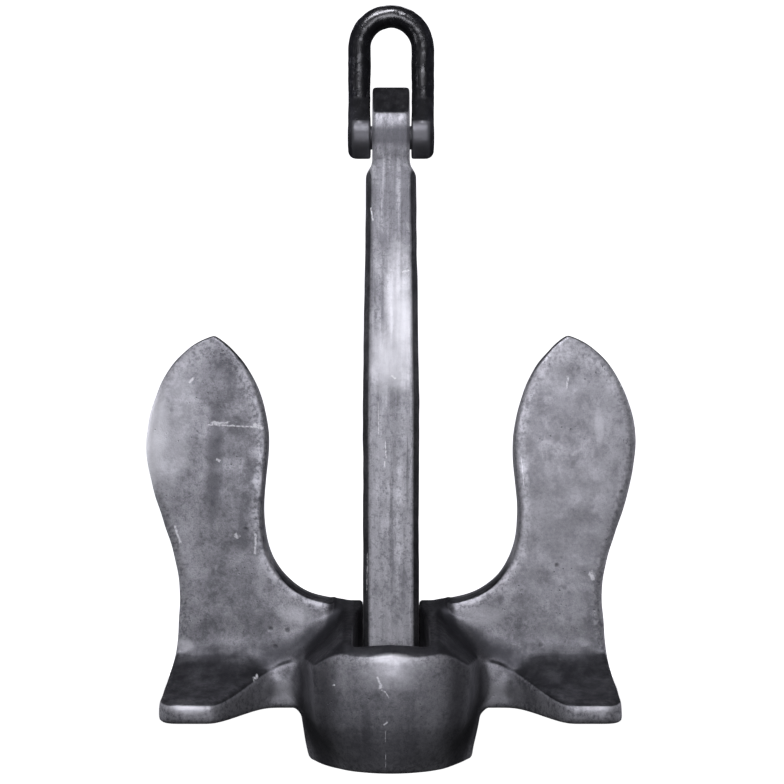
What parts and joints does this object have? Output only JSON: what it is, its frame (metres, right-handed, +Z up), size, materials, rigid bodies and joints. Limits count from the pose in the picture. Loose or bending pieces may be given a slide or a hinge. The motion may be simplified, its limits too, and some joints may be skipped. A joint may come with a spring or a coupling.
{
  "type": "stockless fluke anchor",
  "caption": "Stockless fluke anchor: long tapered shank with a D shackle, and a tilting cast head with broad spade flukes, palms and a barrel crown.",
  "frame": {"origin": "where the chain's end link bears, on the inside of the shackle bow's round end", "axes": "+Z up the shank towards the chain, +X from fluke to fluke towards the right-hand fluke, Y the way the flukes tip"},
  "size_m": [0.84, 0.3794, 1.301],
  "materials": {
    "cast_steel": "matte",
    "shank_steel": "satin",
    "black_enamel": "satin",
    "pin_steel": "satin",
    "weld": "matte",
    "lead": "matte"
  },
  "bodies": {
    "shackle": {"shackle_bow": "black_enamel", "shackle_pin": "black_enamel", "shackle_taper_pin": "pin_steel", "shackle_lead_plug": "lead"},
    "shank": {"shank": "shank_steel"},
    "head": {"head_casting": "cast_steel", "crown_pin": "pin_steel", "pin_chock_left": "pin_steel", "pin_chock_right": "pin_steel", "keeper_pin_left": "pin_steel", "keeper_pin_right": "pin_steel", "keeper_plug_left": "weld", "keeper_plug_right": "weld"}
  },
  "joints": [
    {"name": "shackle_swing", "type": "hinge", "parent": "shackle", "child": "shank", "pos_m": [0, 0, -0.189], "axis": [1, 0, 0], "range_deg": [-130, 130]},
    {"name": "fluke_tilt", "type": "hinge", "parent": "shank", "child": "head", "pos_m": [0, 0, -1.142], "axis": [1, 0, 0], "range_deg": [-45, 45]}
  ]
}
